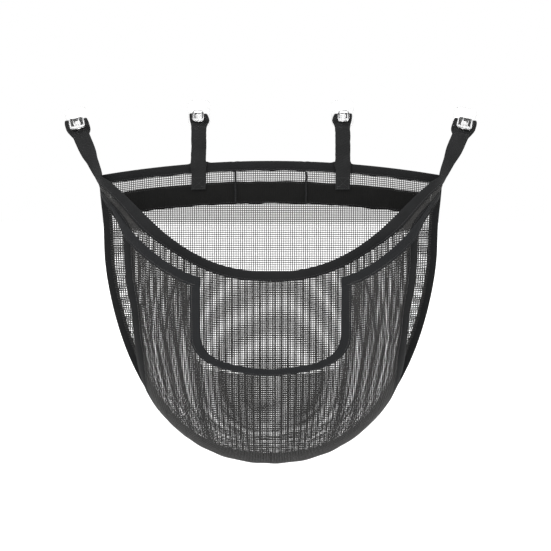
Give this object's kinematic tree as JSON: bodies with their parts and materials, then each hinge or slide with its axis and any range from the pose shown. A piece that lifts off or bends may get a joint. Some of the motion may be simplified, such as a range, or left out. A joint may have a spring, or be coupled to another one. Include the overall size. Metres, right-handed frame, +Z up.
{
  "type": "hanging bath toy organizer",
  "caption": "Half-round mesh bag with a taped open front pocket, hung by webbing straps and loops from clear adhesive wall hooks.",
  "frame": {"origin": "on the wall, midway between the hooks, level with the inner pair", "axes": "+X to the viewer's right, +Y into the wall, +Z up"},
  "size_m": [0.5336, 0.1612, 0.4765],
  "materials": {
    "net_cloth": "coated square net, semi-matt",
    "binding_tape": "ribbed polyester tape, matt",
    "pocket_tape": "ribbed polyester tape, matt",
    "webbing": "woven webbing, matt",
    "clear_plastic": "clear, polished",
    "clear_adhesive": "clear, soft"
  },
  "bodies": {
    "wall_hooks": {"adhesive_pad_outer_left": "clear_adhesive", "adhesive_pad_inner_left": "clear_adhesive", "adhesive_pad_inner_right": "clear_adhesive", "adhesive_pad_outer_right": "clear_adhesive", "wall_hook_outer_left": "clear_plastic", "wall_hook_inner_left": "clear_plastic", "wall_hook_inner_right": "clear_plastic", "wall_hook_outer_right": "clear_plastic"},
    "loops": {"hanging_loop_outer_left": "webbing", "hanging_loop_inner_left": "webbing", "hanging_loop_inner_right": "webbing", "hanging_loop_outer_right": "webbing"},
    "bag": {"back_mesh": "net_cloth", "back_edge_binding": "binding_tape", "back_top_binding": "binding_tape", "back_band": "binding_tape", "back_stay_left": "binding_tape", "back_stay_right": "binding_tape", "gusset_mesh_left": "net_cloth", "gusset_mesh_right": "net_cloth", "front_top_binding": "binding_tape", "front_seam_binding": "binding_tape", "front_mesh": "net_cloth", "pocket_slope_binding_left": "pocket_tape", "pocket_slope_binding_right": "pocket_tape", "pocket_cutout_binding": "pocket_tape", "pocket_mesh": "net_cloth", "strap_inner_left": "webbing", "strap_inner_right": "webbing", "strap_outer_left": "webbing", "strap_outer_right": "webbing"}
  },
  "joints": [
    {"name": "lift_off", "type": "slide", "parent": "wall_hooks", "child": "loops", "axis": [0, 0, 1], "range_m": [0, 0.005]},
    {"name": "swing_out", "type": "hinge", "parent": "loops", "child": "bag", "pos_m": [0, -0.0095, -0.008], "axis": [-1, 0, 0], "range_deg": [0, 20]}
  ]
}
